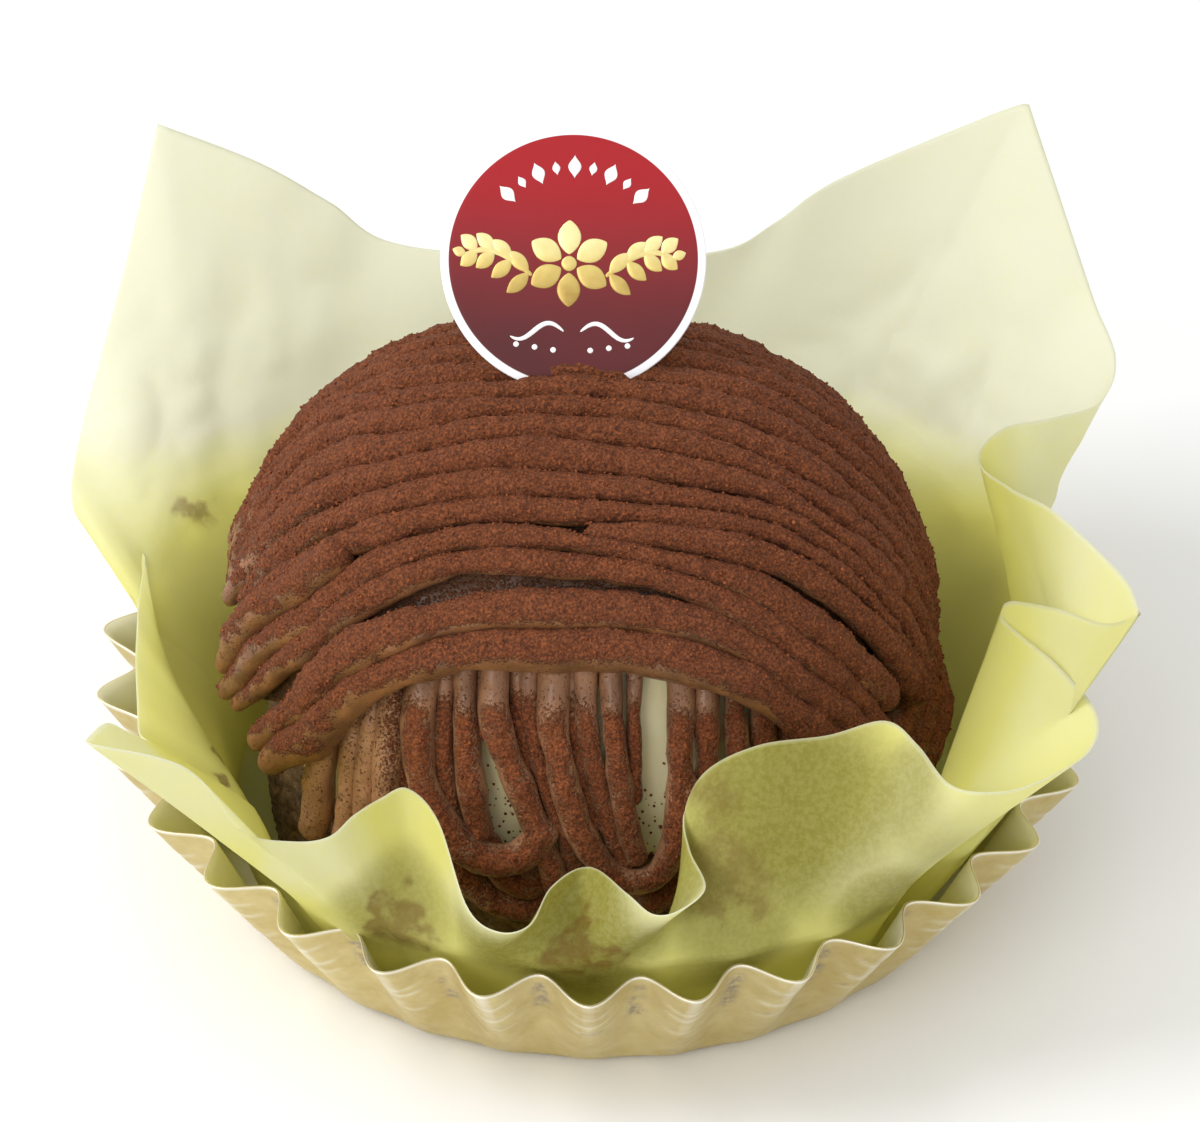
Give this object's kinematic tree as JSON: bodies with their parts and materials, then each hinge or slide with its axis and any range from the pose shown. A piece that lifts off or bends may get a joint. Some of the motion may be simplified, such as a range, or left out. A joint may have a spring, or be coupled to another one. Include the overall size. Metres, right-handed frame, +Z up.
{
  "type": "mont blanc cake",
  "caption": "Dome-shaped chestnut cream cake of piped strands dusted with cocoa, on sponge, set in a folded paper sheet and a pleated gold cup, with a round pick on top.",
  "frame": {"origin": "centre of the cup's flat underside, which rests on the table", "axes": "+Z up, -Y towards the front of the cake, +X to its right as seen from the front"},
  "size_m": [0.1056, 0.104, 0.0732],
  "materials": {
    "gold_foil": "satin metallic foil laminate",
    "glassine": "translucent, slightly waxy",
    "sponge": null,
    "cream": null,
    "chestnut_cream": null,
    "cocoa_dusted_cream": null,
    "pick_card": "gloss printed card"
  },
  "bodies": {
    "root": {"gold_cup": "gold_foil", "paper_liner": "glassine", "sponge_base": "sponge", "whipped_cream": "cream", "lower_strands": "chestnut_cream", "upper_strands": "cocoa_dusted_cream", "pick": "pick_card"}
  },
  "joints": []
}
